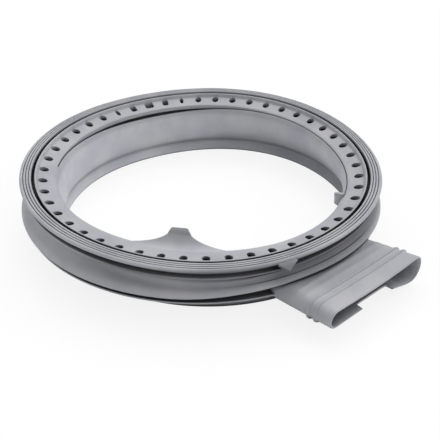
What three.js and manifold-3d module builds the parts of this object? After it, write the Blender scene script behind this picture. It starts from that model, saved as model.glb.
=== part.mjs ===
import * as THREE from 'three';
import { mergeVertices } from 'three/addons/utils/BufferGeometryUtils.js';
import Module from 'manifold-3d';

// Washing machine door seal: one grey rubber moulding. Millimetres, +Z up.
// It lies on its door lip, tub side up. The ring is drawn round and level
// about the Z axis, with Z = 0 at the drain holes, and angles counted from +X.
// At the end it takes the oval, the shift and the slope with which it lies.

const STATIONS = 60;
const WALL = 2.8;

// Perforated flange inside the tub rim.
const HOLE_CIRCLE_R = 170;
const HOLE_COUNT = 48;
const HOLE_WIDTH = 7.6;
const HOLE_LENGTH = 9.4;
const SMALL_HOLE_WIDTH = 5;
const SQUARE_HOLE_WIDTH = 8;
const DRAIN_HOLE_WIDTH = 11.5;
const DRAIN_ANGLE = 88.7;
const FLANGE_INNER_R = 158.4;
const FLANGE_DROP = 7;
const RIM_HEIGHT = 3;

// Slot for the tub's rim, and the ribbed sealing flange outside it.
const TUB_SLOT_R = 179.3;
const TUB_SLOT_WIDTH = 1.9;
const TUB_SLOT_FLOOR = -7.5;
const RIBBED_FLANGE_R = 193.6;
const RIB_COUNT = 4;
const RIB_TOP = 5;
const RIB_DEPTH = 1;

// Channel for the clamp band, under the ribbed flange.
const CLAMP_FLOOR_R = 184.8;
const CLAMP_TOP = 0.8;
const CLAMP_BOTTOM = -7.4;
const CLAMP_LIP_R = 191;
const CLAMP_LIP_THICKNESS = 2.4;

// Outer wall, with its belly above the groove for the front panel.
const NECK_R = 185;
const BELLY_R = 196.8;
const BELLY_Z = -34;
const GROOVE_TOP = -38.2;
const GROOVE_BOTTOM = -43.8;
const GROOVE_FLOOR_R = 183;
const FRONT_LIP_R = 192.6;
const FRONT_LIP_THICKNESS = 2.2;

// Inner wall and door lip.
const INNER_TOP_R = 154.8;
const INNER_TOP_Z = -10;
const CREASE_R = 167.4;
const CREASE_Z = -57;
const DOOR_LIP_R = 162.6;
const DOOR_LIP_Z = -69.4;

// Slit between the flange and the inner wall, widest beside the drain.
const SLIT_WIDTH = 1.6;
const SLIT_SWELL = 2.4;
const SLIT_DROP = 3;
const SLIT_OPEN_ANGLE = 98;
const SLIT_OPEN_REACH = 62;
const SLIT_FROM = -44;
const SLIT_TO = 152;

// The wall lifts off the front lip over the duct.
const LIFT_ANGLE = 281;
const LIFT_REACH = 48;
const LIFT = 8.5;

// Air duct: a flat tube with two clamp beads near its mouth.
const DUCT_ANGLE = 288;
const DUCT_HALF_WIDTH = 69.5;
const DUCT_ROOT_HALF_WIDTH = 65.5;
const DUCT_HEIGHT = 23;
const DUCT_WALL = 2.2;
const DUCT_Z = -43.5;
const DUCT_MOUTH = 242;
const DUCT_LEAN = 11;
const DUCT_SHIFT = 5;
const BEAD_POSITIONS = [217, 224.5];
const BEAD_WIDTH = 3.4;
const BEAD_HEIGHT = 1.7;
const WAVE_POSITIONS = [199, 207.5];
const WAVE_HEIGHT = 0.9;
const NOTCH_WIDTH = 46;
const NOTCH_DEPTH = 8;
const NOTCH_OFFSET = 8;

// Tongue and fin inside, arrow mark outside.
const TONGUE_ANGLE = 234.5;
const TONGUE_TIP_R = 131;
const TONGUE_TIP_Z = 6;
const TONGUE_ROOT_HALF_WIDTH = 46;
const TONGUE_TIP_HALF_WIDTH = 9;
const TONGUE_THICKNESS = 2.6;
const TONGUE_BEAD = 5;
const FIN_ANGLE = 316;
const FIN_INNER_R = 148.4;
const FIN_DEPTH = 21;
const FIN_THICKNESS = 2.6;
const MARK_ANGLE = 269.8;
const MARK_WIDTH = 21;
const MARK_CORNER_R = 196.4;
const MARK_TIP_R = 205;
const MARK_THICKNESS = 2.4;

// How the soft ring lies.
const OVAL = 0.035;
const OVAL_ANGLE = -27;
const LIP_SHIFT = 9.5;
const LIP_SHIFT_ANGLE = -27;
const SLOPE = 0.03;

const rubber = new THREE.MeshStandardMaterial({ color: 0x96969b, roughness: 0.55, metalness: 0 });

const wasm = await Module();
wasm.setup();

const rad = THREE.MathUtils.degToRad;
const { lerp, smoothstep } = THREE.MathUtils;

function swell(angle, centre, reach) {
  const off = Math.abs(THREE.MathUtils.euclideanModulo(angle - centre + 180, 360) - 180);
  return off < reach ? Math.cos((off / reach) * Math.PI / 2) ** 2 : 0;
}

function toSolid(source) {
  let geometry = source.clone();
  geometry.deleteAttribute('normal');
  geometry.deleteAttribute('uv');
  geometry = mergeVertices(geometry);
  return new wasm.Manifold(new wasm.Mesh({
    numProp: 3,
    vertProperties: new Float32Array(geometry.attributes.position.array),
    triVerts: new Uint32Array(geometry.index.array),
  }));
}

// A full turn of a closed section that may change with the angle.
function ring(sectionAt) {
  const first = sectionAt(0);
  const outline = [...first, first[0]].map(([r, z]) => new THREE.Vector2(r, z));
  const geometry = new THREE.LatheGeometry(outline, STATIONS);
  const place = geometry.attributes.position;
  for (let i = 0; i <= STATIONS; i++) {
    const angle = (i % STATIONS) * 360 / STATIONS;
    const section = sectionAt(angle);
    outline.forEach((_, j) => {
      const [r, z] = section[j % section.length];
      place.setXYZ(i * outline.length + j, r * Math.cos(rad(angle)), r * Math.sin(rad(angle)), z);
    });
  }
  return toSolid(geometry);
}

// A pie slice about the Z axis, tall enough for the whole ring.
function sector(from, to, radius) {
  const slice = new THREE.Shape();
  slice.moveTo(0, 0);
  slice.absarc(0, 0, radius, rad(from), rad(to), false);
  slice.closePath();
  const geometry = new THREE.ExtrudeGeometry(slice, { depth: 200, bevelEnabled: false, curveSegments: 24 });
  geometry.translate(0, 0, -100);
  return toSolid(geometry);
}

// A box whose points are moved to a place given by (across, along, up), each from 0 to 1.
function shapedBox(across, along, placeOf) {
  const geometry = new THREE.BoxGeometry(1, 1, 1, across, along, 1);
  const place = geometry.attributes.position;
  const point = new THREE.Vector3();
  for (let i = 0; i < place.count; i++) {
    point.fromBufferAttribute(place, i).addScalar(0.5);
    const [x, y, z] = placeOf(point.x, point.y, point.z);
    place.setXYZ(i, x, y, z);
  }
  return toSolid(geometry);
}

function polar(r, angle, z) {
  return [r * Math.cos(rad(angle)), r * Math.sin(rad(angle)), z];
}

function innerWallR(z) {
  return INNER_TOP_R + (CREASE_R - INNER_TOP_R) * (INNER_TOP_Z - z) / (INNER_TOP_Z - CREASE_Z);
}

// Section of the whole moulding, its inner fold still filled.
function outerSection(angle) {
  const open = SLIT_DROP * swell(angle, SLIT_OPEN_ANGLE, SLIT_OPEN_REACH);
  const lift = LIFT * swell(angle, LIFT_ANGLE, LIFT_REACH);
  const lipTop = CLAMP_BOTTOM - 0.8;
  const lipUnder = lipTop - CLAMP_LIP_THICKNESS;
  const frontUnder = GROOVE_BOTTOM - FRONT_LIP_THICKNESS;
  const slotOuterR = TUB_SLOT_R + TUB_SLOT_WIDTH;
  const pitch = (RIBBED_FLANGE_R - slotOuterR - 0.9) / RIB_COUNT;
  const ribs = [];
  for (let i = RIB_COUNT - 1; i >= 0; i--) {
    const crest = slotOuterR + pitch * (i + 0.45);
    ribs.push([crest, RIB_TOP]);
    if (i > 0) {
      ribs.push([crest - pitch / 2, RIB_TOP - RIB_DEPTH]);
    }
  }
  return [
    [DOOR_LIP_R, DOOR_LIP_Z + 2.4],
    [DOOR_LIP_R + 0.6, DOOR_LIP_Z + 0.6],
    [DOOR_LIP_R + 2.6, DOOR_LIP_Z],
    [DOOR_LIP_R + 5.4, DOOR_LIP_Z],
    [lerp(DOOR_LIP_R, FRONT_LIP_R, 0.38), lerp(DOOR_LIP_Z, frontUnder, 0.34)],
    [lerp(DOOR_LIP_R, FRONT_LIP_R, 0.7), lerp(DOOR_LIP_Z, frontUnder, 0.76)],
    [FRONT_LIP_R - 4.2, frontUnder],
    [FRONT_LIP_R - 1, frontUnder],
    [FRONT_LIP_R, (frontUnder + GROOVE_BOTTOM) / 2],
    [FRONT_LIP_R - 0.8, GROOVE_BOTTOM],
    [GROOVE_FLOOR_R, GROOVE_BOTTOM],
    [GROOVE_FLOOR_R, GROOVE_TOP + lift],
    [BELLY_R - 2.4, GROOVE_TOP + lift],
    [BELLY_R - 0.6, GROOVE_TOP + 1.4 + lift],
    [BELLY_R, BELLY_Z + lift],
    [lerp(NECK_R, BELLY_R, 0.82), lerp(CLAMP_BOTTOM, BELLY_Z, 0.76) + 0.8 * lift],
    [lerp(NECK_R, BELLY_R, 0.36), lerp(CLAMP_BOTTOM, BELLY_Z, 0.5) + 0.5 * lift],
    [NECK_R, lipUnder - 3],
    [NECK_R + 0.8, lipUnder - 0.2],
    [CLAMP_LIP_R - 0.6, lipUnder],
    [CLAMP_LIP_R, (lipTop + lipUnder) / 2],
    [CLAMP_LIP_R - 0.8, lipTop],
    [CLAMP_FLOOR_R, CLAMP_BOTTOM],
    [CLAMP_FLOOR_R, CLAMP_TOP],
    [RIBBED_FLANGE_R - 1.2, CLAMP_TOP + 0.6],
    [RIBBED_FLANGE_R, CLAMP_TOP + 1.6],
    [RIBBED_FLANGE_R - 0.2, RIB_TOP - RIB_DEPTH],
    ...ribs,
    [slotOuterR, RIB_TOP - 0.6],
    [slotOuterR, TUB_SLOT_FLOOR],
    [TUB_SLOT_R, TUB_SLOT_FLOOR],
    [TUB_SLOT_R, RIM_HEIGHT - 1],
    [TUB_SLOT_R - 1.2, RIM_HEIGHT],
    [TUB_SLOT_R - 3, RIM_HEIGHT - 1],
    [HOLE_CIRCLE_R + 5, 1],
    [HOLE_CIRCLE_R, 0],
    [HOLE_CIRCLE_R - 5.4, -0.24 * FLANGE_DROP],
    [FLANGE_INNER_R + 2, -0.6 * FLANGE_DROP],
    [FLANGE_INNER_R - 1.6, -FLANGE_DROP - 0.2 - open],
    [INNER_TOP_R + 0.2, INNER_TOP_Z + 1.6 - open],
    [INNER_TOP_R, INNER_TOP_Z - open],
    [lerp(INNER_TOP_R, CREASE_R, 0.5), lerp(INNER_TOP_Z, CREASE_Z, 0.5)],
    [CREASE_R, CREASE_Z + 1],
    [CREASE_R, CREASE_Z - 1.4],
  ];
}

// Section of the fold between the outer and the inner wall.
function foldSection(angle) {
  const lift = LIFT * swell(angle, LIFT_ANGLE, LIFT_REACH);
  const bodyUnder = TUB_SLOT_FLOOR - WALL - 0.2;
  const foldFloor = CREASE_Z + 3.4;
  const innerFaceR = (z) => innerWallR(z) + WALL;
  return [
    [innerFaceR(foldFloor) + 0.6, foldFloor],
    [innerFaceR(foldFloor) + 3.4, foldFloor + 0.6],
    [GROOVE_FLOOR_R - WALL, GROOVE_BOTTOM - 5],
    [GROOVE_FLOOR_R - WALL, GROOVE_TOP + WALL + lift],
    [BELLY_R - 5, GROOVE_TOP + WALL + lift],
    [BELLY_R - WALL, BELLY_Z + 1 + lift],
    [lerp(NECK_R, BELLY_R, 0.36) - WALL, lerp(CLAMP_BOTTOM, BELLY_Z, 0.5) + 0.5 * lift],
    [NECK_R - WALL, bodyUnder - 3.2],
    [TUB_SLOT_R - 0.6, bodyUnder],
    [TUB_SLOT_R - WALL, bodyUnder + 2],
    [HOLE_CIRCLE_R + 5.6, -2.6],
    [HOLE_CIRCLE_R - 4.4, -4.4],
    [FLANGE_INNER_R + 1.6, -FLANGE_DROP - 1.6],
    [innerFaceR(-13), -13],
    [innerFaceR(-34), -34],
  ];
}

function slit() {
  const cut = ring((angle) => {
    const open = swell(angle, SLIT_OPEN_ANGLE, SLIT_OPEN_REACH);
    const inside = INNER_TOP_R + WALL - 1.6 * open;
    const outside = INNER_TOP_R + WALL + SLIT_WIDTH + (SLIT_SWELL - 1.6) * open;
    return [[inside, -16], [outside, -16], [outside, 2], [inside, 2]];
  });
  return cut.intersect(sector(SLIT_FROM, SLIT_TO, HOLE_CIRCLE_R));
}

function punch(shape, angle) {
  const geometry = new THREE.ExtrudeGeometry(shape, { depth: 12, bevelEnabled: false, curveSegments: 2 });
  geometry.translate(0, 0, -8);
  geometry.translate(HOLE_CIRCLE_R, 0, 0);
  geometry.rotateZ(rad(angle));
  return toSolid(geometry);
}

// A hole's outline with its corners cut by a share of its size.
function holeShape(width, length, cut) {
  const x = length / 2;
  const y = width / 2;
  const shape = new THREE.Shape();
  shape.moveTo(-x, -y * (1 - cut));
  shape.lineTo(-x * (1 - cut), -y);
  shape.lineTo(x * (1 - cut), -y);
  shape.lineTo(x, -y * (1 - cut));
  shape.lineTo(x, y * (1 - cut));
  shape.lineTo(x * (1 - cut), y);
  shape.lineTo(-x * (1 - cut), y);
  shape.lineTo(-x, y * (1 - cut));
  shape.closePath();
  return shape;
}

// Every drain hole; the five at the bottom of the machine differ.
function drainHoles() {
  const pitch = 360 / HOLE_COUNT;
  let holes = punch(holeShape(DRAIN_HOLE_WIDTH, HOLE_LENGTH, 0.2), DRAIN_ANGLE);
  for (let i = 1; i < HOLE_COUNT; i++) {
    const fromDrain = Math.min(i, HOLE_COUNT - i);
    let shape = holeShape(HOLE_WIDTH, HOLE_LENGTH, 0.56);
    if (fromDrain === 1) {
      shape = holeShape(SQUARE_HOLE_WIDTH, HOLE_LENGTH, 0.2);
    } else if (fromDrain === 2) {
      shape = holeShape(SMALL_HOLE_WIDTH, HOLE_LENGTH - 1, 0.56);
    }
    holes = holes.add(punch(shape, DRAIN_ANGLE + i * pitch));
  }
  return holes;
}

// A flat tube along the duct, through stations of [distance, growth].
function ductTube(stations, inset) {
  const halfHeight = DUCT_HEIGHT / 2 - inset;
  const flat = DUCT_HALF_WIDTH - DUCT_HEIGHT / 2;
  const shape = new THREE.Shape();
  shape.moveTo(-flat, -halfHeight);
  shape.lineTo(flat, -halfHeight);
  shape.absarc(flat, 0, halfHeight, -Math.PI / 2, Math.PI / 2, false);
  shape.lineTo(-flat, halfHeight);
  shape.absarc(-flat, 0, halfHeight, Math.PI / 2, 1.5 * Math.PI, false);
  const steps = stations.length - 1;
  const geometry = new THREE.ExtrudeGeometry(shape, { depth: steps, steps, bevelEnabled: false, curveSegments: 4 });
  const place = geometry.attributes.position;
  for (let i = 0; i < place.count; i++) {
    const [distance, growth] = stations[Math.round(place.getZ(i))];
    const side = place.getX(i);
    const up = place.getY(i);
    const end = new THREE.Vector2(side - THREE.MathUtils.clamp(side, -flat, flat), up);
    const scale = 1 + growth / halfHeight;
    const inward = (DUCT_MOUTH - distance) / (DUCT_MOUTH - HOLE_CIRCLE_R);
    const narrow = (DUCT_HALF_WIDTH - DUCT_ROOT_HALF_WIDTH) * inward / flat;
    const middle = DUCT_SHIFT - DUCT_LEAN * inward;
    const across = middle + (side - end.x) * (1 - narrow) + end.x * scale;
    place.setXYZ(i, distance, across, DUCT_Z + end.y * scale);
  }
  geometry.rotateZ(rad(DUCT_ANGLE));
  return toSolid(geometry);
}

function ductOutside() {
  const stations = [[INNER_TOP_R - 12, 0], [BELLY_R - 6, 0.6]];
  for (const distance of WAVE_POSITIONS) {
    stations.push([distance - 3, 0], [distance, WAVE_HEIGHT], [distance + 3, 0]);
  }
  for (const distance of BEAD_POSITIONS) {
    const foot = BEAD_WIDTH / 2;
    stations.push([distance - foot, 0], [distance - foot / 2, BEAD_HEIGHT]);
    stations.push([distance + foot / 2, BEAD_HEIGHT], [distance + foot, 0]);
  }
  stations.push([DUCT_MOUTH, 0]);
  return ductTube(stations, 0);
}

// The room inside the inner wall, used to trim what must stop at it.
function bore() {
  const under = CREASE_Z - 10;
  return ring(() => [
    [0.01, under],
    [innerWallR(under) + 1, under],
    [innerWallR(10) + 1, 10],
    [0.01, 10],
  ]);
}

function notch() {
  const box = new THREE.BoxGeometry(NOTCH_DEPTH * 2, NOTCH_WIDTH, DUCT_HEIGHT / 2);
  box.translate(DUCT_MOUTH, NOTCH_OFFSET, DUCT_Z - DUCT_HEIGHT / 2);
  box.rotateZ(rad(DUCT_ANGLE));
  return toSolid(box);
}

// Bell-shaped tongue that climbs inwards and ends in a thick rim.
function tongue() {
  const rootR = INNER_TOP_R + 1.6;
  const rootZ = INNER_TOP_Z + 0.2;
  return shapedBox(10, 5, (across, along, up) => {
    const v = along < 0.7 ? along * 1.15 : lerp(0.805, 1, (along - 0.7) / 0.3);
    const half = TONGUE_TIP_HALF_WIDTH + (TONGUE_ROOT_HALF_WIDTH - TONGUE_TIP_HALF_WIDTH) * (1 - v) ** 1.7;
    const r = lerp(rootR, TONGUE_TIP_R, v);
    const climb = rootZ + (TONGUE_TIP_Z - rootZ) * (0.35 * v + 0.65 * v ** 2.6);
    const thickness = v > 0.84 ? TONGUE_BEAD : TONGUE_THICKNESS;
    const side = (across - 0.5) * 2 * half;
    const bend = 0.5 * (side / TONGUE_ROOT_HALF_WIDTH) ** 2;
    const angle = TONGUE_ANGLE + THREE.MathUtils.radToDeg(side / r);
    return polar(r + (1 - v) * 2 * bend, angle, climb - TONGUE_THICKNESS + up * thickness);
  });
}

function fin() {
  const shape = new THREE.Shape();
  const topZ = INNER_TOP_Z + 3.4;
  const wallR = INNER_TOP_R + 1.8;
  shape.moveTo(wallR, topZ);
  shape.lineTo(FIN_INNER_R, topZ);
  shape.lineTo(FIN_INNER_R + 0.6, topZ - FIN_DEPTH * 0.6);
  shape.lineTo(wallR + 2, topZ - FIN_DEPTH);
  shape.closePath();
  const geometry = new THREE.ExtrudeGeometry(shape, { depth: FIN_THICKNESS, bevelEnabled: false });
  geometry.translate(0, 0, -FIN_THICKNESS / 2);
  geometry.rotateX(Math.PI / 2);
  geometry.rotateZ(rad(FIN_ANGLE));
  return toSolid(geometry);
}

// Flat arrow head on the ribbed flange, at the top of the machine.
function arrowMark() {
  const shape = new THREE.Shape();
  shape.moveTo(RIBBED_FLANGE_R - 8, 0);
  shape.lineTo(MARK_CORNER_R, -MARK_WIDTH / 2);
  shape.lineTo(MARK_TIP_R, 0);
  shape.lineTo(MARK_CORNER_R, MARK_WIDTH / 2);
  shape.closePath();
  const geometry = new THREE.ExtrudeGeometry(shape, { depth: MARK_THICKNESS, bevelEnabled: false });
  const place = geometry.attributes.position;
  for (let i = 0; i < place.count; i++) {
    const droop = 4.5 * smoothstep(place.getX(i), RIBBED_FLANGE_R - 2, MARK_TIP_R);
    place.setZ(i, place.getZ(i) + RIB_TOP - 0.5 - MARK_THICKNESS - droop);
  }
  geometry.rotateZ(rad(MARK_ANGLE));
  return toSolid(geometry);
}

// The soft ring as it lies: slightly oval, its door lip shifted, its tub side sloping.
function layDown(geometry) {
  const place = geometry.attributes.position;
  for (let i = 0; i < place.count; i++) {
    const angle = Math.atan2(place.getY(i), place.getX(i));
    const round = Math.hypot(place.getX(i), place.getY(i));
    const z = place.getZ(i);
    const low = 1 - smoothstep(z, GROOVE_TOP + 2, CLAMP_BOTTOM - 4);
    const inner = 1 - smoothstep(round, CREASE_R + 4, FRONT_LIP_R - 4);
    const shift = LIP_SHIFT * inner * (1 - smoothstep(z, CREASE_Z, INNER_TOP_Z));
    const r = round + OVAL * Math.min(round, RIBBED_FLANGE_R) * Math.cos(2 * (angle - rad(OVAL_ANGLE)));
    const x = r * Math.cos(angle) + shift * Math.cos(rad(LIP_SHIFT_ANGLE));
    const y = r * Math.sin(angle) + shift * Math.sin(rad(LIP_SHIFT_ANGLE));
    place.setXYZ(i, x, y, z - SLOPE * y * low);
  }
  geometry.rotateX(Math.atan(SLOPE));
  geometry.computeBoundingBox();
  const { min, max } = geometry.boundingBox;
  geometry.translate(-(min.x + max.x) / 2, -(min.y + max.y) / 2, -min.z);
  return geometry;
}

const tube = ductOutside().subtract(bore());
const passage = ductTube([[INNER_TOP_R - 20, 0], [DUCT_MOUTH + 4, 0]], DUCT_WALL);
const seal = ring(outerSection)
  .subtract(ring(foldSection))
  .add(tube)
  .subtract(passage)
  .subtract(notch())
  .subtract(slit())
  .subtract(drainHoles())
  .add(tongue())
  .add(fin())
  .add(arrowMark());

const mesh = seal.getMesh();
const geometry = new THREE.BufferGeometry();
geometry.setAttribute('position', new THREE.BufferAttribute(new Float32Array(mesh.vertProperties), 3));
geometry.setIndex(new THREE.BufferAttribute(new Uint32Array(mesh.triVerts), 1));
layDown(geometry);
geometry.computeVertexNormals();

const doorSeal = new THREE.Mesh(geometry, rubber);
doorSeal.name = 'door_seal';

const group = new THREE.Group();
group.name = 'washing_machine_door_seal';
group.add(doorSeal);

export default group;
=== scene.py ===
import math

import bpy
import numpy as np
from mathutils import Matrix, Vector


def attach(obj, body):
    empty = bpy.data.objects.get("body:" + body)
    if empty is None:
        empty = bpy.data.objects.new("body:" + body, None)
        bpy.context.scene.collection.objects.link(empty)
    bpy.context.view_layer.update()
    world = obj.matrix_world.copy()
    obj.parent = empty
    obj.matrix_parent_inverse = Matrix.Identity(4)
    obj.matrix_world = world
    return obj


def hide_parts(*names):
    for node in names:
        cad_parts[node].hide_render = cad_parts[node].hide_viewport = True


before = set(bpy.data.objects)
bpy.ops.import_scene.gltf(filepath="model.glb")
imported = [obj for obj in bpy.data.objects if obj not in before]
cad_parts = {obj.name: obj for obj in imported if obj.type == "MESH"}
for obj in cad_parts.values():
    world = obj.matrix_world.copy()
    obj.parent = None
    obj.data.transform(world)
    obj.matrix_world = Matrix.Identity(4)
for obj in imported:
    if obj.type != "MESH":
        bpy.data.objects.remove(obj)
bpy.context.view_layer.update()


# Camera: looks down on the ring from the side of the arrow mark, with the
# duct coming towards it at the right.
camera_data = bpy.data.cameras.new("camera")
camera_data.lens = 58.677
camera_data.sensor_width = 36
camera = bpy.data.objects.new("camera", camera_data)
camera.location = (-0.29466, -0.61258, 0.4721)
camera.rotation_euler = [math.radians(a) for a in (55.8659, 0.0263, -26.4786)]
bpy.context.scene.collection.objects.link(camera)
bpy.context.scene.camera = camera


# Moulded ring: one rubber section carried round the drum opening. It is drawn
# in millimetres round and level about the Z axis, with Z = 0 at the drain holes
# and angles counted from +X, and takes the form in which it lies at the end.
STATIONS = 216
WALL = 2.8
HOLE_CIRCLE_R = 170
FLANGE_INNER_R = 156.8
FLANGE_DROP = 7
SLOT_RIM_Z = 4
APRON = 6.2
APRON_ANGLE = 222
APRON_REACH = 64
TUB_SLOT_R = 178.1
TUB_SLOT_WIDTH = 3.2
SLOT_EDGE_Z = 2.7
TUB_SLOT_BULB = 0.5
TUB_SLOT_FLOOR = -7.5
RIBBED_FLANGE_R = 193.6
RIB_COUNT = 4
RIB_TOP = 4.9
RIB_DEPTH = 1.4
CLAMP_FLOOR_R = 184.8
CLAMP_TOP = 0.4
CLAMP_BOTTOM = -6
CLAMP_LIP_R = 191
CLAMP_LIP_THICKNESS = 2.4
NECK_R = 185
BELLY_R = 196.8
BELLY_Z = -34
GROOVE_TOP = -38.2
GROOVE_BOTTOM = -43.8
GROOVE_FLOOR_R = 183
FRONT_LIP_R = 192.6
FRONT_LIP_THICKNESS = 2.2
INNER_TOP_R = 154.4
INNER_TOP_Z = -11
BULGE_R = 153.4
BULGE_Z = -25
WAIST_R = 157
WAIST_Z = -42
CREASE_R = 167.4
CREASE_Z = -57
DOOR_LIP_R = 162.6
DOOR_LIP_Z = -69.4
SLIT_TOP = 2
SLIT_BOTTOM = -16
SLIT_WIDTH = 0.8
SLIT_SWELL = 2.9
SLIT_INWARD = 1.6
SLIT_DROP = 3
SLIT_OPEN_ANGLE = 90
SLIT_OPEN_REACH = 74
SLIT_FROM = -44
SLIT_TO = 152
LIFT_ANGLE = 281
LIFT_REACH = 48
LIFT = 8.5
OVAL = 0.035
OVAL_ANGLE = math.radians(-27)
LIP_SHIFT = 9.5
SLOPE = 0.03
SPREAD = 9.2
SPREAD_ANGLE = 42
SPREAD_REACH = 60
BELLY_SPREAD_REACH = 40
BELLY_SPREAD_RADII = (HOLE_CIRCLE_R + 6, HOLE_CIRCLE_R + 14)
BELLY_SPREAD_HEIGHTS = (-26, -10)
SAG = 3.2
SAG_ANGLE = 252
SAG_REACH = 48
RING_AXIS = (0, 25.7214, 69.3688)


def mix(a, b, share):
    return a + (b - a) * share


def smooth(x, low, high):
    t = np.clip((x - low) / (high - low), 0, 1)
    return t * t * (3 - 2 * t)


def swelling(degrees, centre, reach):
    """1 at the centre angle, falling smoothly to 0 at the reach."""
    off = np.abs((degrees - centre + 180) % 360 - 180)
    return np.cos(np.minimum(off / reach, 1) * math.pi / 2) ** 2


def inner_wall_r(z):
    """The inner wall's radius at a height."""
    if z > BULGE_Z:
        return mix(BULGE_R, INNER_TOP_R, (z - BULGE_Z) / (INNER_TOP_Z - BULGE_Z))
    if z > WAIST_Z:
        return mix(WAIST_R, BULGE_R, (z - WAIST_Z) / (BULGE_Z - WAIST_Z))
    return mix(CREASE_R, WAIST_R, (z - CREASE_Z) / (WAIST_Z - CREASE_Z))


def lie_down(points):
    """The soft ring as it lies, in metres: its tub side slopes and sags, and its door lip is shifted.

    It is slightly oval, and spreads at the far right, the belly over a shorter way.
    """
    angle = np.arctan2(points[:, 1], points[:, 0])
    degrees = np.degrees(angle)
    round_r = np.hypot(points[:, 0], points[:, 1])
    z = points[:, 2]
    low = 1 - smooth(z, GROOVE_TOP + 2, CLAMP_BOTTOM - 4)
    inner = 1 - smooth(round_r, CREASE_R + 4, FRONT_LIP_R - 4)
    shift = LIP_SHIFT * inner * (1 - smooth(z, CREASE_Z, INNER_TOP_Z))
    belly = smooth(round_r, *BELLY_SPREAD_RADII) * (1 - smooth(z, *BELLY_SPREAD_HEIGHTS))
    reach = mix(SPREAD_REACH, BELLY_SPREAD_REACH, belly)
    spread = SPREAD * swelling(degrees, SPREAD_ANGLE, reach) * smooth(round_r, 0, INNER_TOP_R)
    r = round_r + OVAL * np.minimum(round_r, RIBBED_FLANGE_R) * np.cos(2 * (angle - OVAL_ANGLE)) + spread
    x = r * np.cos(angle) + shift * math.cos(OVAL_ANGLE)
    y = r * np.sin(angle) + shift * math.sin(OVAL_ANGLE)
    sag = SAG * swelling(degrees, SAG_ANGLE, SAG_REACH)
    sag = sag * smooth(round_r, HOLE_CIRCLE_R, TUB_SLOT_R) * smooth(z, BELLY_Z, CLAMP_BOTTOM)
    z = z - SLOPE * y * low - sag
    tilt = math.atan(SLOPE)
    turned = np.stack([x, y * math.cos(tilt) - z * math.sin(tilt), y * math.sin(tilt) + z * math.cos(tilt)], 1)
    return (turned + np.array(RING_AXIS)) / 1000


def rounded(corners):
    """Closed section points from corners (r, z, radius, then what they follow), with an arc at each rounded one."""
    points = []
    corners = [tuple(c) + (0,) * (7 - len(c)) for c in corners]
    for i, (r, z, radius, *follow) in enumerate(corners):
        here = Vector((r, z))
        back = Vector(corners[i - 1][:2]) - here
        ahead = Vector(corners[(i + 1) % len(corners)][:2]) - here
        reach = min(radius, 0.45 * back.length, 0.45 * ahead.length)
        if reach < 0.05:
            points.append((r, z, *follow))
            continue
        start = here + back.normalized() * reach
        end = here + ahead.normalized() * reach
        steps = 5 if reach > 1.2 else 3
        for k in range(steps + 1):
            t = k / steps
            p = start * (1 - t) ** 2 + here * (2 * t * (1 - t)) + end * t * t
            points.append((p.x, p.y, *follow))
    return points


def section_object(name, corners):
    """A section as a string of points that carries how far each one follows the lift, drop, push and apron."""
    points = rounded(corners)
    mesh = bpy.data.meshes.new(name)
    mesh.from_pydata([(p[0], 0, p[1]) for p in points], [], [])
    for slot, kind in ((2, "lift"), (3, "drop"), (4, "push"), (5, "apron")):
        mesh.attributes.new(kind, "FLOAT", "POINT").data.foreach_set("value", [p[slot] for p in points])
    thing = bpy.data.objects.new(name, mesh)
    bpy.context.scene.collection.objects.link(thing)
    return thing


def link_or_set(tree, socket, value):
    if isinstance(value, bpy.types.NodeSocket):
        tree.links.new(value, socket)
    else:
        socket.default_value = value


def calc(tree, operation, *values):
    node = tree.nodes.new("ShaderNodeMath")
    node.operation = operation
    for socket, value in zip(node.inputs, values):
        link_or_set(tree, socket, value)
    return node.outputs[0]


def read_attribute(tree, name, kind="FLOAT"):
    node = tree.nodes.new("GeometryNodeInputNamedAttribute")
    node.data_type = kind
    node.inputs["Name"].default_value = name
    return node.outputs["Attribute"]


def new_tree(name, inputs):
    """A geometry tree with a geometry socket each way and the named float inputs."""
    tree = bpy.data.node_groups.new(name, "GeometryNodeTree")
    tree.interface.new_socket("Geometry", in_out="INPUT", socket_type="NodeSocketGeometry")
    tree.interface.new_socket("Geometry", in_out="OUTPUT", socket_type="NodeSocketGeometry")
    for label, value in inputs.items():
        kind = "NodeSocketInt" if isinstance(value, int) else "NodeSocketFloat"
        tree.interface.new_socket(label, in_out="INPUT", socket_type=kind).default_value = value
    return tree, tree.nodes.new("NodeGroupInput").outputs, tree.nodes.new("NodeGroupOutput").inputs


def finish_tree(tree, geometry, out, material):
    realize = tree.nodes.new("GeometryNodeRealizeInstances")
    dress = tree.nodes.new("GeometryNodeSetMaterial")
    dress.inputs["Material"].default_value = material
    tree.links.new(geometry, realize.inputs[0])
    tree.links.new(realize.outputs[0], dress.inputs["Geometry"])
    tree.links.new(dress.outputs[0], out["Geometry"])


def run_tree(thing, tree):
    """Runs a tree on an object and keeps the result as its plain mesh."""
    modifier = thing.modifiers.new(tree.name, "NODES")
    modifier.node_group = tree
    bpy.context.view_layer.update()
    made = bpy.data.meshes.new_from_object(thing.evaluated_get(bpy.context.evaluated_depsgraph_get()))
    thing.modifiers.clear()
    thing.data = made
    return thing


def polar_position(tree, r, degrees, z):
    angle = calc(tree, "RADIANS", degrees)
    place = tree.nodes.new("ShaderNodeCombineXYZ")
    tree.links.new(calc(tree, "MULTIPLY", r, calc(tree, "COSINE", angle)), place.inputs[0])
    tree.links.new(calc(tree, "MULTIPLY", r, calc(tree, "SINE", angle)), place.inputs[1])
    link_or_set(tree, place.inputs[2], z)
    return place.outputs[0]


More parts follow.
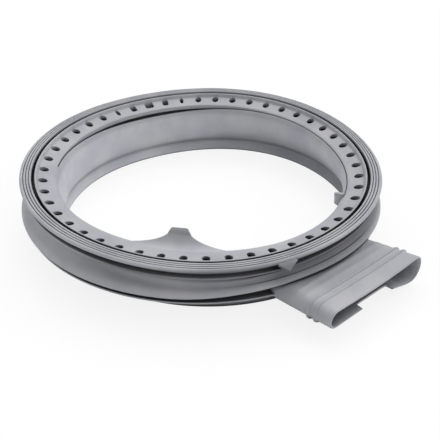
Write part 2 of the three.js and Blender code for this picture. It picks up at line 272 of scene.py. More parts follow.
def swell(tree, degrees, centre, reach):
    """1 at the centre angle, falling smoothly to 0 at the reach."""
    off = calc(tree, "ABSOLUTE", calc(tree, "WRAP", calc(tree, "SUBTRACT", degrees, centre), 180.0, -180.0))
    share = calc(tree, "MINIMUM", calc(tree, "DIVIDE", off, reach), 1.0)
    return calc(tree, "POWER", calc(tree, "COSINE", calc(tree, "MULTIPLY", share, math.pi / 2)), 2.0)


def ring_tree(material):
    """Carries a section round the Z axis: a grid of stations by section points, each put in its place.

    The section lifts over the duct and reaches further in beside the tongue. Beside the drain, the top of
    the inner wall drops and parts from the flange.
    """
    sizes = {"Stations": STATIONS, "Lift": float(LIFT), "Lift angle": float(LIFT_ANGLE),
             "Lift reach": float(LIFT_REACH), "Drop": float(SLIT_DROP),
             "Open angle": float(SLIT_OPEN_ANGLE), "Open reach": float(SLIT_OPEN_REACH),
             "Apron": APRON, "Apron angle": float(APRON_ANGLE), "Apron reach": float(APRON_REACH)}
    tree, given, out = new_tree("carry section round", sizes)
    count = tree.nodes.new("GeometryNodeAttributeDomainSize")
    tree.links.new(given["Geometry"], count.inputs[0])
    around = calc(tree, "ADD", given["Stations"], 1.0)
    along = calc(tree, "ADD", count.outputs["Point Count"], 1.0)
    grid = tree.nodes.new("GeometryNodeMeshGrid")
    tree.links.new(around, grid.inputs["Vertices X"])
    tree.links.new(along, grid.inputs["Vertices Y"])
    index = tree.nodes.new("GeometryNodeInputIndex").outputs[0]
    station = calc(tree, "FLOOR", calc(tree, "DIVIDE", calc(tree, "ADD", index, 0.5), along))
    step = calc(tree, "SUBTRACT", index, calc(tree, "MULTIPLY", station, along))
    point = calc(tree, "FLOORED_MODULO", step, count.outputs["Point Count"])
    degrees = calc(tree, "MULTIPLY", station, calc(tree, "DIVIDE", 360.0, given["Stations"]))

    def sampled(value, kind):
        node = tree.nodes.new("GeometryNodeSampleIndex")
        node.data_type = kind
        tree.links.new(given["Geometry"], node.inputs["Geometry"])
        tree.links.new(value, node.inputs["Value"])
        tree.links.new(point, node.inputs["Index"])
        return node.outputs[0]

    drawn = tree.nodes.new("ShaderNodeSeparateXYZ")
    tree.links.new(sampled(tree.nodes.new("GeometryNodeInputPosition").outputs[0], "FLOAT_VECTOR"), drawn.inputs[0])
    lift = calc(tree, "MULTIPLY", given["Lift"], swell(tree, degrees, given["Lift angle"], given["Lift reach"]))
    opening = swell(tree, degrees, given["Open angle"], given["Open reach"])
    rise = calc(tree, "MULTIPLY", sampled(read_attribute(tree, "lift"), "FLOAT"), lift)
    drop = calc(tree, "MULTIPLY", sampled(read_attribute(tree, "drop"), "FLOAT"), given["Drop"])
    fall = calc(tree, "MULTIPLY", drop, opening)
    push = calc(tree, "MULTIPLY", sampled(read_attribute(tree, "push"), "FLOAT"), opening)
    apron = calc(tree, "MULTIPLY", given["Apron"], swell(tree, degrees, given["Apron angle"], given["Apron reach"]))
    inward = calc(tree, "MULTIPLY", sampled(read_attribute(tree, "apron"), "FLOAT"), apron)
    z = calc(tree, "SUBTRACT", calc(tree, "ADD", drawn.outputs[2], rise), fall)
    r = calc(tree, "SUBTRACT", calc(tree, "ADD", drawn.outputs[0], push), inward)
    place = tree.nodes.new("GeometryNodeSetPosition")
    tree.links.new(grid.outputs["Mesh"], place.inputs["Geometry"])
    tree.links.new(polar_position(tree, r, degrees, z), place.inputs["Position"])
    close = tree.nodes.new("GeometryNodeMergeByDistance")
    close.inputs["Distance"].default_value = 0.001
    tree.links.new(place.outputs[0], close.inputs["Geometry"])
    finish_tree(tree, close.outputs[0], out, material)
    return tree


def outer_section():
    lip_top = CLAMP_BOTTOM - 0.8
    lip_under = lip_top - CLAMP_LIP_THICKNESS
    front_under = GROOVE_BOTTOM - FRONT_LIP_THICKNESS
    slot_outer_r = TUB_SLOT_R + TUB_SLOT_WIDTH
    pitch = (RIBBED_FLANGE_R - slot_outer_r - 0.9) / RIB_COUNT
    ribs = []
    for i in reversed(range(RIB_COUNT)):
        crest = slot_outer_r + pitch * (i + 0.45)
        ribs.append((crest + 0.9, RIB_TOP, 0.5))
        ribs.append((crest - 0.9, RIB_TOP, 0.5))
        if i > 0:
            ribs.append((crest - pitch / 2 + 0.12, RIB_TOP - RIB_DEPTH, 0.1))
            ribs.append((crest - pitch / 2 - 0.12, RIB_TOP - RIB_DEPTH, 0.1))
    return [
        (DOOR_LIP_R, DOOR_LIP_Z + 2.4, 1),
        (DOOR_LIP_R + 0.6, DOOR_LIP_Z + 0.6, 1),
        (DOOR_LIP_R + 2.6, DOOR_LIP_Z, 1),
        (DOOR_LIP_R + 5.4, DOOR_LIP_Z, 2),
        (mix(DOOR_LIP_R, FRONT_LIP_R, 0.38), mix(DOOR_LIP_Z, front_under, 0.34), 5),
        (mix(DOOR_LIP_R, FRONT_LIP_R, 0.7), mix(DOOR_LIP_Z, front_under, 0.76), 5),
        (FRONT_LIP_R - 4.2, front_under, 1.5),
        (FRONT_LIP_R - 1, front_under, 0.8),
        (FRONT_LIP_R, mix(front_under, GROOVE_BOTTOM, 0.5), 0.8),
        (FRONT_LIP_R - 0.8, GROOVE_BOTTOM, 0.5),
        (GROOVE_FLOOR_R, GROOVE_BOTTOM, 1),
        (GROOVE_FLOOR_R, GROOVE_TOP, 1, 1),
        (BELLY_R - 2.4, GROOVE_TOP, 1.6, 1),
        (BELLY_R - 0.8, GROOVE_TOP + 1.4, 2, 1),
        (BELLY_R - 0.2, BELLY_Z, 5, 1),
        (mix(NECK_R, BELLY_R, 0.82), mix(CLAMP_BOTTOM, BELLY_Z, 0.76), 6, 0.8),
        (mix(NECK_R, BELLY_R, 0.36), mix(CLAMP_BOTTOM, BELLY_Z, 0.5), 6, 0.5),
        (NECK_R, lip_under - 3, 3),
        (NECK_R + 0.4, lip_under, 1),
        (CLAMP_LIP_R - 0.4, lip_under, 1),
        (CLAMP_LIP_R, mix(lip_top, lip_under, 0.5), 1),
        (CLAMP_LIP_R - 0.6, lip_top, 0.9),
        (CLAMP_FLOOR_R, CLAMP_BOTTOM, 1),
        (CLAMP_FLOOR_R, CLAMP_TOP, 1),
        (RIBBED_FLANGE_R - 1, CLAMP_TOP + 0.4, 0.8),
        (RIBBED_FLANGE_R - 0.2, CLAMP_TOP + 1.2, 0.8),
        (RIBBED_FLANGE_R, RIB_TOP - RIB_DEPTH, 0.6),
        *ribs,
        (slot_outer_r, SLOT_EDGE_Z, 0.3),
        (slot_outer_r + TUB_SLOT_BULB, TUB_SLOT_FLOOR, 0.5),
        (TUB_SLOT_R - TUB_SLOT_BULB, TUB_SLOT_FLOOR, 0.5),
        (TUB_SLOT_R, SLOT_RIM_Z - 0.3, 0.4),
        (TUB_SLOT_R - 1, SLOT_RIM_Z, 0.6),
        (TUB_SLOT_R - 2.3, SLOT_RIM_Z - 1.2, 1.2),
        (HOLE_CIRCLE_R + 4.8, -0.6, 1.2),
        (HOLE_CIRCLE_R, -1.6, 2),
        (HOLE_CIRCLE_R - 5.4, -0.45 * FLANGE_DROP, 2),
        (FLANGE_INNER_R + 2, -0.6 * FLANGE_DROP, 2, 0, 0, 0, 0.6),
        (FLANGE_INNER_R - 0.6, -FLANGE_DROP - 0.2, 2, 0, 1, 0, 1),
        (INNER_TOP_R, INNER_TOP_Z, 3, 0, 1, 0, 1),
        (BULGE_R - 0.3, BULGE_Z, 9, 0, 0, 0, 0.5),
        (WAIST_R - 0.4, WAIST_Z, 9),
        (CREASE_R, CREASE_Z + 1, 0.6),
        (CREASE_R, CREASE_Z - 1.4, 1.2),
    ]


def fold_section():
    under = TUB_SLOT_FLOOR - WALL - 0.2
    floor = CREASE_Z + 3.4
    return [
        (inner_wall_r(floor) + WALL + 0.6, floor, 1),
        (inner_wall_r(floor) + WALL + 3.4, floor + 0.6, 2),
        (GROOVE_FLOOR_R - WALL, GROOVE_BOTTOM - 5, 3),
        (GROOVE_FLOOR_R - WALL, GROOVE_TOP + WALL, 2, 1),
        (BELLY_R - 5, GROOVE_TOP + WALL, 1, 1),
        (BELLY_R - WALL, BELLY_Z + 1, 3, 1),
        (mix(NECK_R, BELLY_R, 0.36) - WALL, mix(CLAMP_BOTTOM, BELLY_Z, 0.5), 5, 0.5),
        (NECK_R - WALL, under - 3.2, 2),
        (TUB_SLOT_R - 0.6, under, 1),
        (TUB_SLOT_R - WALL, under + 2, 1),
        (HOLE_CIRCLE_R + 5.6, -4.2, 1),
        (HOLE_CIRCLE_R - 4.4, -6, 1),
        (FLANGE_INNER_R + 2.2, -FLANGE_DROP - 2, 0.6, 0, 0, 0, 1),
        (inner_wall_r(-13) + WALL, -13, 1, 0, 0, 0, 1),
        (inner_wall_r(BULGE_Z) + WALL, BULGE_Z, 6, 0, 0, 0, 0.5),
        (inner_wall_r(WAIST_Z) + WALL + 0.4, WAIST_Z, 6),
    ]


def slit_section():
    inside = INNER_TOP_R + WALL
    outside = inside + SLIT_WIDTH
    outward = SLIT_SWELL - SLIT_INWARD
    return [
        (inside, SLIT_BOTTOM, 0, 0, 0, -SLIT_INWARD),
        (outside, SLIT_BOTTOM, 0, 0, 0, outward),
        (outside, SLIT_TOP, 0, 0, 0, outward),
        (inside, SLIT_TOP, 0, 0, 0, -SLIT_INWARD),
    ]


def cut(target, tool, operation="DIFFERENCE"):
    """Joins or cuts one closed solid with another, and drops the tool."""
    modifier = target.modifiers.new("cut", "BOOLEAN")
    modifier.operation = operation
    modifier.solver = "MANIFOLD"
    modifier.object = tool
    bpy.context.view_layer.update()
    made = bpy.data.meshes.new_from_object(target.evaluated_get(bpy.context.evaluated_depsgraph_get()))
    target.modifiers.clear()
    target.data = made
    bpy.data.objects.remove(tool)


def outwards(thing):
    """Turns a closed mesh's faces outwards."""
    mesh = thing.data
    mesh.calc_loop_triangles()
    places = np.empty(len(mesh.vertices) * 3)
    mesh.vertices.foreach_get("co", places)
    places = places.reshape(-1, 3)
    corners = np.empty(len(mesh.loop_triangles) * 3, dtype=int)
    mesh.loop_triangles.foreach_get("vertices", corners)
    a, b, c = (places[i] for i in corners.reshape(-1, 3).T)
    if np.einsum("ij,ij->", a, np.cross(b, c)) < 0:
        mesh.flip_normals()
    return thing


def solid_object(name, points, faces):
    """A closed mesh with its faces turned outwards."""
    mesh = bpy.data.meshes.new(name)
    mesh.from_pydata([tuple(p) for p in points], [], faces)
    thing = bpy.data.objects.new(name, mesh)
    bpy.context.scene.collection.objects.link(thing)
    return outwards(thing)


def loft(name, rings):
    """A closed solid through rings of equally many points, with a flat cap at each end."""
    count = len(rings[0])
    points = [p for one in rings for p in one]
    faces = []
    for i in range(len(rings) - 1):
        for k in range(count):
            a, b = i * count + k, i * count + (k + 1) % count
            faces.append((a, b, b + count, a + count))
    faces.append(tuple(reversed(range(count))))
    faces.append(tuple(range(len(points) - count, len(points))))
    return solid_object(name, points, faces)


rubber = bpy.data.materials.new("grey rubber")
carry = ring_tree(rubber)
seal = outwards(run_tree(section_object("door_seal_rubber", outer_section()), carry))
cut(seal, outwards(run_tree(section_object("fold", fold_section()), carry)))


# Air duct: a flat tube moulded onto the lower wall, with soft waves, two thin
# clamp beads near its mouth, and a step cut out of the mouth's lower edge.
DUCT_ANGLE = math.radians(288)
DUCT_HALF_WIDTH = 70.5
DUCT_ROOT_HALF_WIDTH = 64
DUCT_HEIGHT = 23
DUCT_WALL = 2.2
DUCT_Z = -43.5
DUCT_MOUTH = 242
DUCT_LEAN = 12
DUCT_SHIFT = 6
DUCT_SAG = 3
DUCT_END_DROP = 9
DUCT_STRAIGHT = 196
DUCT_START = 142.8
PASSAGE_START = 134.8
DUCT_BEADS = (217, 224.5)
DUCT_BEAD_HEIGHT = 2.1
DUCT_BEAD_HALF_WIDTH = 1.3
DUCT_WAVES = (199, 207.5)
DUCT_WAVE_HEIGHT = 0.8
DUCT_WAVE_HALF_WIDTH = 2.6
NOTCH_WIDTH = 46
NOTCH_DEPTH = 8
NOTCH_OFFSET = 8


def duct_bead(distance):
    """How far the two clamp beads stand out at this distance."""
    return sum(DUCT_BEAD_HEIGHT * math.exp(-(((distance - centre) / DUCT_BEAD_HALF_WIDTH) ** 4))
               for centre in DUCT_BEADS)


def duct_wave(distance):
    """How far the soft waves lift the duct's top at this distance."""
    return sum(DUCT_WAVE_HEIGHT * math.exp(-(((distance - centre) / DUCT_WAVE_HALF_WIDTH) ** 2))
               for centre in DUCT_WAVES)


def duct_ring(distance, growth, inset, wave=0):
    """The duct's outline at a distance: its top sags, and its right end droops, towards the mouth."""
    half_height = DUCT_HEIGHT / 2 - inset
    flat = DUCT_HALF_WIDTH - DUCT_HEIGHT / 2
    inward = (DUCT_MOUTH - distance) / (DUCT_MOUTH - HOLE_CIRCLE_R)
    narrow = (DUCT_HALF_WIDTH - DUCT_ROOT_HALF_WIDTH) * inward / flat
    middle = DUCT_SHIFT - DUCT_LEAN * inward
    out = max(0, distance - DUCT_STRAIGHT) / (DUCT_MOUTH - DUCT_STRAIGHT)
    scale = 1 + growth / half_height
    outline = []
    for side in (1, -1):
        for k in range(17):
            turn = side * math.pi * (k / 16 - 0.5)
            outline.append((side * flat, side * half_height * math.cos(turn), half_height * math.sin(turn)))
        for k in range(1, 24):
            outline.append((side * flat * (1 - k / 12), 0, side * half_height))
    ring = []
    for base, end, up in outline:
        share = up / half_height
        sag = DUCT_SAG * out * math.cos(math.pi / 2 * (base + end) / DUCT_HALF_WIDTH) - wave
        drop = DUCT_END_DROP * out * float(smooth(base + end, 0.3 * flat, flat))
        across = middle + base * (1 - narrow) + end * scale
        ring.append((distance * math.cos(DUCT_ANGLE) - across * math.sin(DUCT_ANGLE),
                     distance * math.sin(DUCT_ANGLE) + across * math.cos(DUCT_ANGLE),
                     DUCT_Z + up * scale - sag * max(0, share) - drop * (1 - share) / 2))
    return ring


def duct_stations():
    """Distances of the duct's outlines, close together where the beads and the waves are."""
    stops = list(np.linspace(DUCT_START, 190, 12)) + list(np.arange(191.5, 214, 0.9))
    stops += list(np.arange(214, 227.5, 0.35)) + list(np.linspace(228, DUCT_MOUTH - 1, 7))
    return stops


tube = loft("duct", [duct_ring(d, duct_bead(d), 0, duct_wave(d)) for d in duct_stations()]
            + [duct_ring(DUCT_MOUTH - 0.3, -0.25, 0), duct_ring(DUCT_MOUTH, -0.7, 0)])
room = run_tree(section_object("room", [
    (0.01, CREASE_Z - 10), (inner_wall_r(CREASE_Z - 10) + 1, CREASE_Z - 10),
    (inner_wall_r(10) + 1, 10), (0.01, 10)]), carry)
cut(tube, outwards(room))
cut(seal, tube, "UNION")
cut(seal, loft("passage", [duct_ring(d, 0, DUCT_WALL) for d in (PASSAGE_START, 165, DUCT_STRAIGHT, 220, 236)]
               + [duct_ring(DUCT_MOUTH - 0.6, 0.1, DUCT_WALL), duct_ring(DUCT_MOUTH + 4, 1.6, DUCT_WALL)]))


def notch_ring(distance, half):
    ring = []
    for across, up in ((-half, -20), (half, -20), (half, 0), (-half, 0)):
        side = NOTCH_OFFSET + across
        ring.append((distance * math.cos(DUCT_ANGLE) - side * math.sin(DUCT_ANGLE),
                     distance * math.sin(DUCT_ANGLE) + side * math.cos(DUCT_ANGLE), DUCT_Z + up))
    return ring


cut(seal, loft("notch", [notch_ring(DUCT_MOUTH - NOTCH_DEPTH, NOTCH_WIDTH / 2 - 1),
                         notch_ring(DUCT_MOUTH - NOTCH_DEPTH + 1, NOTCH_WIDTH / 2),
                         notch_ring(DUCT_MOUTH + 8, NOTCH_WIDTH / 2 + 1)]))


# Slit: a thin cut that parts the flange from the top of the inner wall, so
# that the wall can give. It ends beside the fin and beside the tongue.
def sector_solid(start, end, radius):
    low, high = [(0, 0, -100)], [(0, 0, 100)]
    for k in range(41):
        turn = math.radians(mix(start, end, k / 40))
        low.append((radius * math.cos(turn), radius * math.sin(turn), -100))
        high.append((radius * math.cos(turn), radius * math.sin(turn), 100))
    return loft("sector", [low, high])


opening = outwards(run_tree(section_object("slit", slit_section()), carry))
cut(opening, sector_solid(SLIT_FROM, SLIT_TO, HOLE_CIRCLE_R), "INTERSECT")
cut(seal, opening)


# Drain holes: a ring of rounded holes punched through the flange, with one
# wide hole, two square ones and two small ones at the bottom of the machine.
def hole_tree(material):
    """One punch for each hole, on a circle, its outline taken from its place beside the drain."""
    sizes = {"Holes": 48, "Circle radius": float(HOLE_CIRCLE_R), "Drain angle": 88.7,
             "Width": 8.4, "Length": 10.0, "Drain width": 11.5, "Square width": 8.0, "Small width": 5.0}
    tree, given, out = new_tree("punch drain holes", sizes)
    line = tree.nodes.new("GeometryNodeMeshLine")
    tree.links.new(given["Holes"], line.inputs["Count"])
    index = tree.nodes.new("GeometryNodeInputIndex").outputs[0]
    beside = calc(tree, "MINIMUM", index, calc(tree, "SUBTRACT", given["Holes"], index))

    def chosen(step, value):
        near = calc(tree, "COMPARE", beside, step, 0.1)
        return calc(tree, "MULTIPLY", near, value)

    def stored(geometry, name, value):
        node = tree.nodes.new("GeometryNodeStoreNamedAttribute")
        node.data_type = "FLOAT"
        node.domain = "POINT"
        node.inputs["Name"].default_value = name
        tree.links.new(geometry, node.inputs["Geometry"])
        tree.links.new(value, node.inputs["Value"])
        return node.outputs[0]

    plain = calc(tree, "GREATER_THAN", beside, 2.5)
    width = calc(tree, "MULTIPLY", plain, given["Width"])
    for step, label in ((0.0, "Drain width"), (1.0, "Square width"), (2.0, "Small width")):
        width = calc(tree, "ADD", width, chosen(step, given[label]))
    square = calc(tree, "LESS_THAN", beside, 1.5)
    degrees = calc(tree, "ADD", given["Drain angle"],
                   calc(tree, "MULTIPLY", index, calc(tree, "DIVIDE", 360.0, given["Holes"])))
    points = stored(stored(stored(line.outputs[0], "width", width), "square", square), "degrees", degrees)
    punch = tree.nodes.new("GeometryNodeMeshCylinder")
    punch.inputs["Vertices"].default_value = 32
    punch.inputs["Side Segments"].default_value = 8
    punch.inputs["Radius"].default_value = 1
    punch.inputs["Depth"].default_value = 12
    drawn = tree.nodes.new("GeometryNodeStoreNamedAttribute")
    drawn.data_type = "FLOAT_VECTOR"
    drawn.domain = "POINT"
    drawn.inputs["Name"].default_value = "drawn"
    tree.links.new(punch.outputs["Mesh"], drawn.inputs["Geometry"])
    tree.links.new(tree.nodes.new("GeometryNodeInputPosition").outputs[0], drawn.inputs["Value"])
    place = tree.nodes.new("GeometryNodeInstanceOnPoints")
    tree.links.new(points, place.inputs["Points"])
    tree.links.new(drawn.outputs[0], place.inputs["Instance"])
    whole = tree.nodes.new("GeometryNodeRealizeInstances")
    tree.links.new(place.outputs[0], whole.inputs[0])
    outline = tree.nodes.new("ShaderNodeSeparateXYZ")
    tree.links.new(read_attribute(tree, "drawn", "FLOAT_VECTOR"), outline.inputs[0])
    power = calc(tree, "SUBTRACT", 1.0, calc(tree, "MULTIPLY", read_attribute(tree, "square"), 0.6))

    def bulged(value):
        size = calc(tree, "POWER", calc(tree, "ABSOLUTE", value), power)
        return calc(tree, "MULTIPLY", calc(tree, "SIGN", value), size)

    z = outline.outputs[2]
    flare = calc(tree, "MULTIPLY", calc(tree, "MAXIMUM", calc(tree, "SUBTRACT", z, 1.2), 0.0), 0.3)
    half_width = calc(tree, "ADD", calc(tree, "MULTIPLY", read_attribute(tree, "width"), 0.5), flare)
    half_length = calc(tree, "ADD", calc(tree, "MULTIPLY", given["Length"], 0.5), flare)
    side = calc(tree, "MULTIPLY", bulged(outline.outputs[1]), half_width)
    reach = calc(tree, "ADD", given["Circle radius"], calc(tree, "MULTIPLY", bulged(outline.outputs[0]), half_length))
    r = calc(tree, "SQRT", calc(tree, "ADD", calc(tree, "POWER", reach, 2.0), calc(tree, "POWER", side, 2.0)))
    turn = calc(tree, "DEGREES", calc(tree, "ARCTAN2", side, reach))
    at = calc(tree, "ADD", read_attribute(tree, "degrees"), turn)
    move = tree.nodes.new("GeometryNodeSetPosition")
    tree.links.new(whole.outputs[0], move.inputs["Geometry"])
    tree.links.new(polar_position(tree, r, at, calc(tree, "SUBTRACT", z, 2.0)), move.inputs["Position"])
    finish_tree(tree, move.outputs[0], out, material)
    return tree


holes = run_tree(solid_object("holes", [(0, 0, 0)], []), hole_tree(rubber))
cut(seal, outwards(holes))


# Tongue: a bell-shaped flap moulded onto the flange's inner edge. It climbs
# inwards and ends in a thick rim.
TONGUE_ANGLE = 235.2
TONGUE_TIP_R = 133.5
TONGUE_TIP_Z = 6.4
TONGUE_ROOT_HALF_WIDTH = 59
TONGUE_TIP_HALF_WIDTH = 9
TONGUE_THICKNESS = 2.6
TONGUE_BEAD = 2.4


def tongue():
    root_z = INNER_TOP_Z + 2.8
    rings = []
    for i in range(49):
        v = i / 48
        half = TONGUE_TIP_HALF_WIDTH + (TONGUE_ROOT_HALF_WIDTH - TONGUE_TIP_HALF_WIDTH) * (1 - v) ** 1.6
        half *= math.sqrt(max(0.0, 1 - max(0.0, (v - 0.95) / 0.055) ** 2)) * 0.25 + 0.75
        climb = root_z + (TONGUE_TIP_Z - root_z) * (0.35 * v + 0.65 * v ** 2.6)
        thickness = TONGUE_THICKNESS + TONGUE_BEAD * float(smooth(v, 0.8, 0.87))
        end = math.sqrt(max(0.02, 1 - max(0.0, (v - 0.93) / 0.07) ** 2))
        ring = []
        for top in (1, -1):
            for k in range(24):
                side = half * math.sin(top * mix(-math.pi / 2, math.pi / 2, k / 24))
                edge = max(0.0, (abs(side) - (half - thickness / 2)) / (thickness / 2))
                puff = thickness / 2 * math.sqrt(max(0.0, 1 - edge * edge)) * end
                bend = 0.5 * (side / TONGUE_ROOT_HALF_WIDTH) ** 2
                turn = math.radians(TONGUE_ANGLE) + side / mix(INNER_TOP_R, TONGUE_TIP_R, v)
                apron = APRON * float(swelling(math.degrees(turn), APRON_ANGLE, APRON_REACH))
                rr = mix(INNER_TOP_R + 1.6 - apron, TONGUE_TIP_R, v) + (1 - v) * 2 * bend
                up = climb - TONGUE_THICKNESS + thickness / 2 + top * puff
                ring.append((rr * math.cos(turn), rr * math.sin(turn), up))
        rings.append(ring)
    return loft("tongue", rings)


cut(seal, tongue(), "UNION")


# Fin: a thin gusset moulded onto the inside of the wall where the slit ends. It
# stands out most at the flange and tapers downwards.
FIN_ANGLE = math.radians(316)
FIN_INNER_R = 147
FIN_DEPTH = 24
FIN_THICKNESS = 3.2


def fin():
    top = INNER_TOP_Z + 7.6
    wall_r = INNER_TOP_R + 1.8
    outline = [(wall_r, top), (FIN_INNER_R + 0.6, top), (FIN_INNER_R, top - 0.8),
               (FIN_INNER_R + 0.6, top - FIN_DEPTH * 0.6), (wall_r + 2, top - FIN_DEPTH)]
    middle = (wall_r, top - 6)
    rings = []
    for side, shrink in ((-0.5, 0.6), (-0.38, 0.15), (-0.2, 0), (0.2, 0), (0.38, 0.15), (0.5, 0.6)):
        ring = []
        for r, z in outline:
            pull = Vector((middle[0] - r, middle[1] - z))
            pull = pull.normalized() * shrink if r < wall_r else Vector((0, 0))
            r, z, across = r + pull.x, z + pull.y, side * FIN_THICKNESS
            ring.append((r * math.cos(FIN_ANGLE) - across * math.sin(FIN_ANGLE),
                         r * math.sin(FIN_ANGLE) + across * math.cos(FIN_ANGLE), z))
        rings.append(ring)
    return loft("fin", rings)


cut(seal, fin(), "UNION")


# Arrow mark: a flat arrow head moulded onto the ribbed flange, for the top of
# the machine.
MARK_ANGLE = math.radians(269.8)
MARK_WIDTH = 21
MARK_ROOT_R = RIBBED_FLANGE_R - 8
MARK_MIDDLE_R = 196
MARK_CORNER_R = 194.4
MARK_TIP_R = 203.4
MARK_TIP_ASIDE = -3
MARK_THICKNESS = 2.4
MARK_TOP = RIB_TOP - 0.5
MARK_DROOP = 4.5
MARK_BEND_R = RIBBED_FLANGE_R - 4


def arrow_mark():
    outline = [(MARK_ROOT_R, 0), (MARK_CORNER_R, -MARK_WIDTH / 2),
               (MARK_TIP_R, MARK_TIP_ASIDE), (MARK_CORNER_R, MARK_WIDTH / 2)]
    rings = []
    for z, shrink in ((0, 0.2), (0.3, 0), (MARK_THICKNESS - 0.3, 0), (MARK_THICKNESS, 0.25)):
        ring = []
        for i in range(4):
            start, end = outline[i], outline[(i + 1) % 4]
            for k in range(8):
                r, across = mix(start[0], end[0], k / 8), mix(start[1], end[1], k / 8)
                droop = MARK_DROOP * max(0, r - MARK_BEND_R) / (MARK_TIP_R - MARK_BEND_R)
                r, across = mix(r, MARK_MIDDLE_R, shrink / 8), across * (1 - shrink / 8)
                ring.append((r * math.cos(MARK_ANGLE) - across * math.sin(MARK_ANGLE),
                             r * math.sin(MARK_ANGLE) + across * math.cos(MARK_ANGLE),
                             z + MARK_TOP - MARK_THICKNESS - droop))
        rings.append(ring)
    return loft("arrow_mark", rings)


cut(seal, arrow_mark(), "UNION")


# The moulding lies down, and its faces shade as one soft skin.
places = np.empty(len(seal.data.vertices) * 3)
seal.data.vertices.foreach_get("co", places)
seal.data.vertices.foreach_set("co", lie_down(places.reshape(-1, 3)).ravel())
seal.data.shade_smooth()
seal.data.set_sharp_from_angle(angle=math.radians(38))
seal.data.update()
seal.data.materials.clear()
seal.data.materials.append(rubber)
for name in ("drawn", "width", "square", "degrees", "lift", "drop", "push", "apron"):
    if name in seal.data.attributes:
        seal.data.attributes.remove(seal.data.attributes[name])


# The rubber: grey with soft clouds and a fine grain, with painted light on the inner wall and the door lip,
# painted shade on the near outer wall, and painted shade in the slots and holes.
# Lengths are in metres here: heights above the floor, radii from the ring's axis.
RING_CENTRE_Y = 0.0257
CLOUD_DARK = (0.375, 0.382, 0.420, 1)
CLOUD_PALE = (0.450, 0.451, 0.470, 1)
# Colour of the painted shade in slots, grooves and holes.
PAINTED_CREVICE_SHADE = (0.02, 0.02, 0.023, 1)
# Share of painted light that makes the inner wall and the door lip paler.
INNER_WALL_PAINTED_LIGHT = 0.32
# Share of painted shade on the near outer wall under the flange.
NEAR_WALL_PAINTED_SHADE = 0.6
CREVICE_SHADE_REACH = 0.03
GRAIN_HEIGHT = 0.0003
rubber.use_nodes = True
nodes, links = rubber.node_tree.nodes, rubber.node_tree.links
shader = nodes["Principled BSDF"]
shader.inputs["Specular IOR Level"].default_value = 0.15
place = nodes.new("ShaderNodeTexCoord")


def cloud(scale, detail):
    noise = nodes.new("ShaderNodeTexNoise")
    noise.inputs["Scale"].default_value = scale
    noise.inputs["Detail"].default_value = detail
    links.new(place.outputs["Object"], noise.inputs["Vector"])
    return noise.outputs["Fac"]


tone = nodes.new("ShaderNodeValToRGB")
tone.color_ramp.elements[0].position = 0.36
tone.color_ramp.elements[0].color = CLOUD_DARK
tone.color_ramp.elements[1].position = 0.64
tone.color_ramp.elements[1].color = CLOUD_PALE
links.new(cloud(26, 5), tone.inputs[0])
spot = nodes.new("ShaderNodeSeparateXYZ")
links.new(place.outputs["Object"], spot.inputs[0])
skin = rubber.node_tree
ahead = calc(skin, "SUBTRACT", spot.outputs[1], RING_CENTRE_Y)
height = spot.outputs[2]
radius = calc(skin, "SQRT", calc(skin, "ADD", calc(skin, "MULTIPLY", spot.outputs[0], spot.outputs[0]),
                                 calc(skin, "MULTIPLY", ahead, ahead)))


def past(value, low, high):
    """0 below the low value and 1 above the high one."""
    node = nodes.new("ShaderNodeMapRange")
    node.interpolation_type = "SMOOTHSTEP"
    node.inputs["From Min"].default_value = low
    node.inputs["From Max"].default_value = high
    links.new(value, node.inputs["Value"])
    return node.outputs[0]


def short_of(value, low, high):
    return calc(skin, "SUBTRACT", 1.0, past(value, low, high))


def both(a, b):
    return calc(skin, "MULTIPLY", a, b)


# Painted light: the inner wall and the door lip are made paler, as if more light fell on them.
inner_wall = both(short_of(radius, 0.157, 0.168), short_of(height, 0.055, 0.063))
door_lip = both(short_of(radius, 0.17, 0.18), short_of(height, 0.009, 0.013))
# Painted shade: the upper outer wall on the camera's side, under the flange's overhang, is darkened.
outer_wall = both(both(past(radius, 0.18, 0.186), past(height, 0.036, 0.05)), short_of(height, 0.062, 0.068))
near_wall = both(outer_wall, short_of(ahead, -0.14, -0.06))
painted_light = calc(skin, "MULTIPLY", calc(skin, "ADD", inner_wall, door_lip), INNER_WALL_PAINTED_LIGHT)
shade = calc(skin, "SUBTRACT", calc(skin, "ADD", 1.0, painted_light), calc(skin, "MULTIPLY", near_wall, NEAR_WALL_PAINTED_SHADE))
toned = nodes.new("ShaderNodeVectorMath")
toned.operation = "SCALE"
links.new(tone.outputs[0], toned.inputs[0])
links.new(shade, toned.inputs["Scale"])
# Painted shade: ambient occlusion darkens the colour towards near black in slots, grooves and holes.
depth = nodes.new("ShaderNodeAmbientOcclusion")
depth.inputs["Distance"].default_value = CREVICE_SHADE_REACH
crevice_shade = nodes.new("ShaderNodeMapRange")
crevice_shade.inputs["From Min"].default_value = 0.26
crevice_shade.inputs["From Max"].default_value = 0.7
crevice_shade.inputs["To Min"].default_value = 0.08
links.new(depth.outputs["AO"], crevice_shade.inputs["Value"])
crevice_shaded = nodes.new("ShaderNodeMix")
crevice_shaded.data_type = "RGBA"
unshaded_share, crevice_shade_colour, unshaded_colour = (crevice_shaded.inputs[i] for i in (0, 6, 7))
crevice_shade_colour.default_value = PAINTED_CREVICE_SHADE
links.new(crevice_shade.outputs[0], unshaded_share)
links.new(toned.outputs[0], unshaded_colour)
links.new(crevice_shaded.outputs[2], shader.inputs["Base Color"])
dull = nodes.new("ShaderNodeMapRange")
dull.inputs["To Min"].default_value = 0.46
dull.inputs["To Max"].default_value = 0.6
links.new(cloud(60, 3), dull.inputs["Value"])
links.new(dull.outputs[0], shader.inputs["Roughness"])
grain = nodes.new("ShaderNodeBump")
grain.inputs["Strength"].default_value = 0.25
grain.inputs["Distance"].default_value = GRAIN_HEIGHT
links.new(cloud(700, 3), grain.inputs["Height"])
links.new(grain.outputs[0], shader.inputs["Normal"])

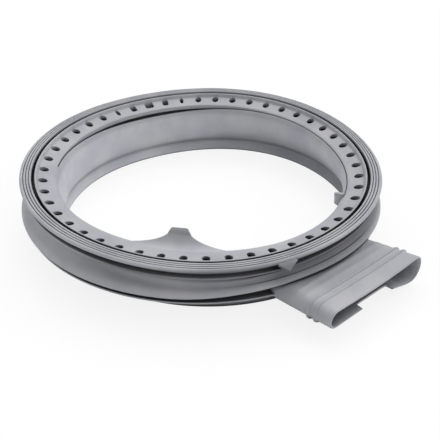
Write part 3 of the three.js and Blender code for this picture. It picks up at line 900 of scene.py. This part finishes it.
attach(seal, "root")
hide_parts("door_seal")


# Floor: a plain pale surface. The camera sees it nearly white, with the
# object's shadow; to the object it is a plain white floor.
def shown_to_camera(tree, plain, shown):
    """Picks the second shader for rays from the camera and the first for all others."""
    path = tree.nodes.new("ShaderNodeLightPath")
    either = tree.nodes.new("ShaderNodeMixShader")
    tree.links.new(path.outputs["Is Camera Ray"], either.inputs[0])
    tree.links.new(plain.outputs[0], either.inputs[1])
    tree.links.new(shown.outputs[0], either.inputs[2])
    return either.outputs[0]


floor_mesh = bpy.data.meshes.new("floor")
floor_mesh.from_pydata([(-6, -6, 0), (6, -6, 0), (6, 6, 0), (-6, 6, 0)], [], [(0, 1, 2, 3)])
floor = bpy.data.objects.new("floor", floor_mesh)
bpy.context.scene.collection.objects.link(floor)
paint = bpy.data.materials.new("pale floor")
paint.use_nodes = True
nodes, links = paint.node_tree.nodes, paint.node_tree.links
nodes.clear()
bounce = nodes.new("ShaderNodeBsdfDiffuse")
bounce.inputs["Color"].default_value = (0.9, 0.9, 0.9, 1)
shaded = nodes.new("ShaderNodeBsdfDiffuse")
shaded.inputs["Color"].default_value = (0.95, 0.95, 0.95, 1)
glow = nodes.new("ShaderNodeEmission")
glow.inputs["Strength"].default_value = 1
seen = nodes.new("ShaderNodeMixShader")
seen.inputs[0].default_value = 0.85
links.new(shaded.outputs[0], seen.inputs[1])
links.new(glow.outputs[0], seen.inputs[2])
surface = nodes.new("ShaderNodeOutputMaterial")
links.new(shown_to_camera(paint.node_tree, bounce, seen), surface.inputs["Surface"])
floor.data.materials.append(paint)


# Light: soft studio boxes in the sky, as lobes of light: a strong one high
# behind the object, a weak one before it, and a broad one at each side. The
# camera looks along LOOK over the ground, and sees a plain white sky.
LOOK = (0.446, 0.895)
scene = bpy.context.scene
scene.view_settings.view_transform = "Standard"
world = bpy.data.worlds.new("studio")
scene.world = world
world.use_nodes = True
nodes, links = world.node_tree.nodes, world.node_tree.links
sky = nodes["Background"]
sky.inputs["Color"].default_value = (1, 1, 1, 1)
place = nodes.new("ShaderNodeTexCoord")


def softbox(side, ahead, elevation, sharpness, strength):
    """A lobe of light: side and ahead as the camera sees them, elevation in degrees, narrower when sharper."""
    level = math.cos(math.radians(elevation))
    aim = nodes.new("ShaderNodeVectorMath")
    aim.operation = "DOT_PRODUCT"
    aim.inputs[1].default_value = (level * (LOOK[1] * side + LOOK[0] * ahead),
                                   level * (LOOK[1] * ahead - LOOK[0] * side),
                                   math.sin(math.radians(elevation)))
    links.new(place.outputs["Generated"], aim.inputs[0])
    facing = calc(world.node_tree, "MAXIMUM", aim.outputs["Value"], 0.0)
    return calc(world.node_tree, "MULTIPLY", calc(world.node_tree, "POWER", facing, sharpness), strength)


light = softbox(0, 1, 60, 12, 4.2)
for box in (softbox(0, -1, 35, 4, 0.35), softbox(-1, 0, 25, 3, 0.9), softbox(1, 0, 25, 3, 1.75)):
    light = calc(world.node_tree, "ADD", light, box)
links.new(light, sky.inputs["Strength"])
white = nodes.new("ShaderNodeBackground")
white.inputs["Color"].default_value = (1, 1, 1, 1)
white.inputs["Strength"].default_value = 1
links.new(shown_to_camera(world.node_tree, sky, white), nodes["World Output"].inputs["Surface"])
